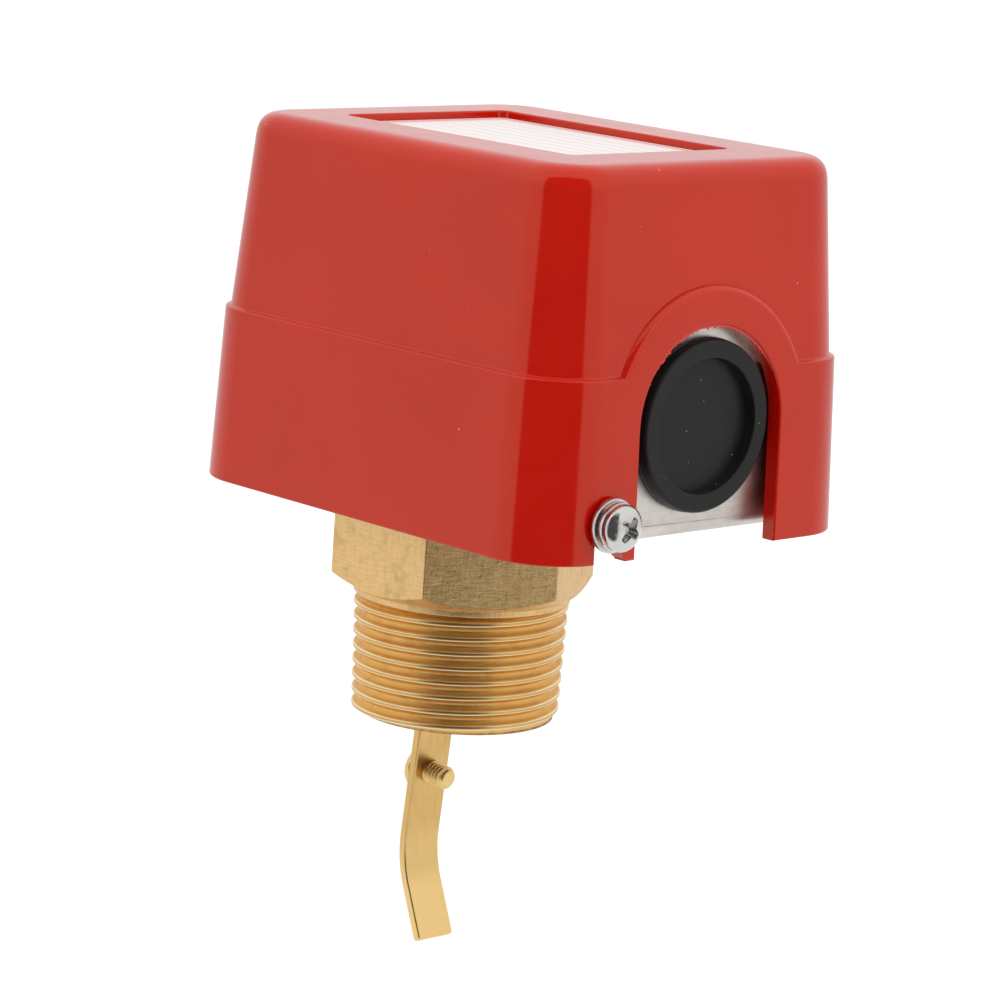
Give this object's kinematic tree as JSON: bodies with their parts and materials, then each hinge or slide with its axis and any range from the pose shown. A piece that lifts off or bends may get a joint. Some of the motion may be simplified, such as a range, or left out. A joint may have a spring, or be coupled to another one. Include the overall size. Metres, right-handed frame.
{
  "type": "paddle flow switch",
  "caption": "Paddle flow switch with a hexagon brass pipe body, bellows-sealed paddle arm, rocker lever, snap-action switch, range spring and lift-off red cover.",
  "frame": {"origin": "on the pipe thread's axis, at the hexagon's lower face", "axes": "+Z along the thread's axis towards the cover's top, +X towards the conduit entry, +Y across the switch"},
  "size_m": [0.0891, 0.0662, 0.1279],
  "materials": {
    "brass_body": "machined brass",
    "brass_strip": "rolled brass strip",
    "bronze": "phosphor bronze",
    "rubber_gasket": "flat sheet rubber",
    "rubber_plug": "moulded rubber, satin",
    "sheet_steel": "zinc-plated, brushed",
    "steel_screws": "bright nickel plate",
    "steel_pin": "ground steel",
    "spring_steel": "spring wire",
    "lever_steel": "zinc-plated",
    "switch_black": "moulded phenolic",
    "plunger_red": "moulded nylon",
    "terminal_brass": "plated brass",
    "cover_red": "moulded, glossy",
    "label_white": "printed film"
  },
  "bodies": {
    "frame": {"pipe_body": "brass_body", "gasket": "rubber_gasket", "bellows_flange": "bronze", "bellows": "bronze", "base_frame": "sheet_steel", "frame_screws": "steel_screws", "pivot_bracket": "sheet_steel", "pivot_pin": "steel_pin", "pivot_spacers": "steel_pin", "switch_bracket": "sheet_steel", "range_bracket": "sheet_steel", "bracket_screws": "steel_screws", "switch_case": "switch_black", "terminal_plates": "terminal_brass", "terminal_screws": "steel_screws", "switch_mount_screws": "steel_screws", "range_nut": "steel_screws", "range_spring": "spring_steel", "ground_screw": "steel_screws", "ground_washer": "terminal_brass", "conduit_plug": "rubber_plug", "cover_screws": "steel_screws", "cover_flat_washers": "steel_screws", "cover_spring_washers": "steel_screws"},
    "lever": {"lever_stem": "brass_strip", "rocker_lever": "lever_steel", "lever_nut": "steel_screws", "spring_seat": "lever_steel", "paddle_arm": "brass_strip", "arm_rivets": "brass_strip", "paddle_screw": "brass_strip"},
    "plunger": {"switch_plunger": "plunger_red"},
    "spring_cap": {"spring_cap": "lever_steel"},
    "range_screw": {"range_screw": "steel_screws"},
    "cover": {"cover": "cover_red", "label": "label_white"}
  },
  "joints": [
    {"name": "paddle_swing", "type": "hinge", "parent": "frame", "child": "lever", "pos_m": [0, 0, 0.023], "axis": [0, -1, 0], "range_deg": [0, 6], "stiffness_Nm_per_rad": 0.6, "springref_deg": -8.59, "deforming": ["bellows", "range_spring"]},
    {"name": "plunger_travel", "type": "slide", "parent": "frame", "child": "plunger", "axis": [0, 0, -1], "range_m": [0, 0.00172]},
    {"name": "range_adjust", "type": "slide", "parent": "frame", "child": "spring_cap", "axis": [0, 0, 1], "range_m": [-0.0028, 0.0028], "deforming": ["range_spring"]},
    {"name": "range_screw_turn", "type": "hinge", "parent": "spring_cap", "child": "range_screw", "pos_m": [0.015, 0, 0.0567], "axis": [0, 0, 1], "range_deg": [-1440, 1440]},
    {"name": "cover_lift", "type": "slide", "parent": "frame", "child": "cover", "axis": [0, 0, 1], "range_m": [0, 0.055]}
  ],
  "couplings": [
    {"joint": "plunger_travel", "follows": "paddle_swing", "m_per_rad": 0.01628},
    {"joint": "range_screw_turn", "follows": "range_adjust", "rad_per_m": 8976}
  ]
}
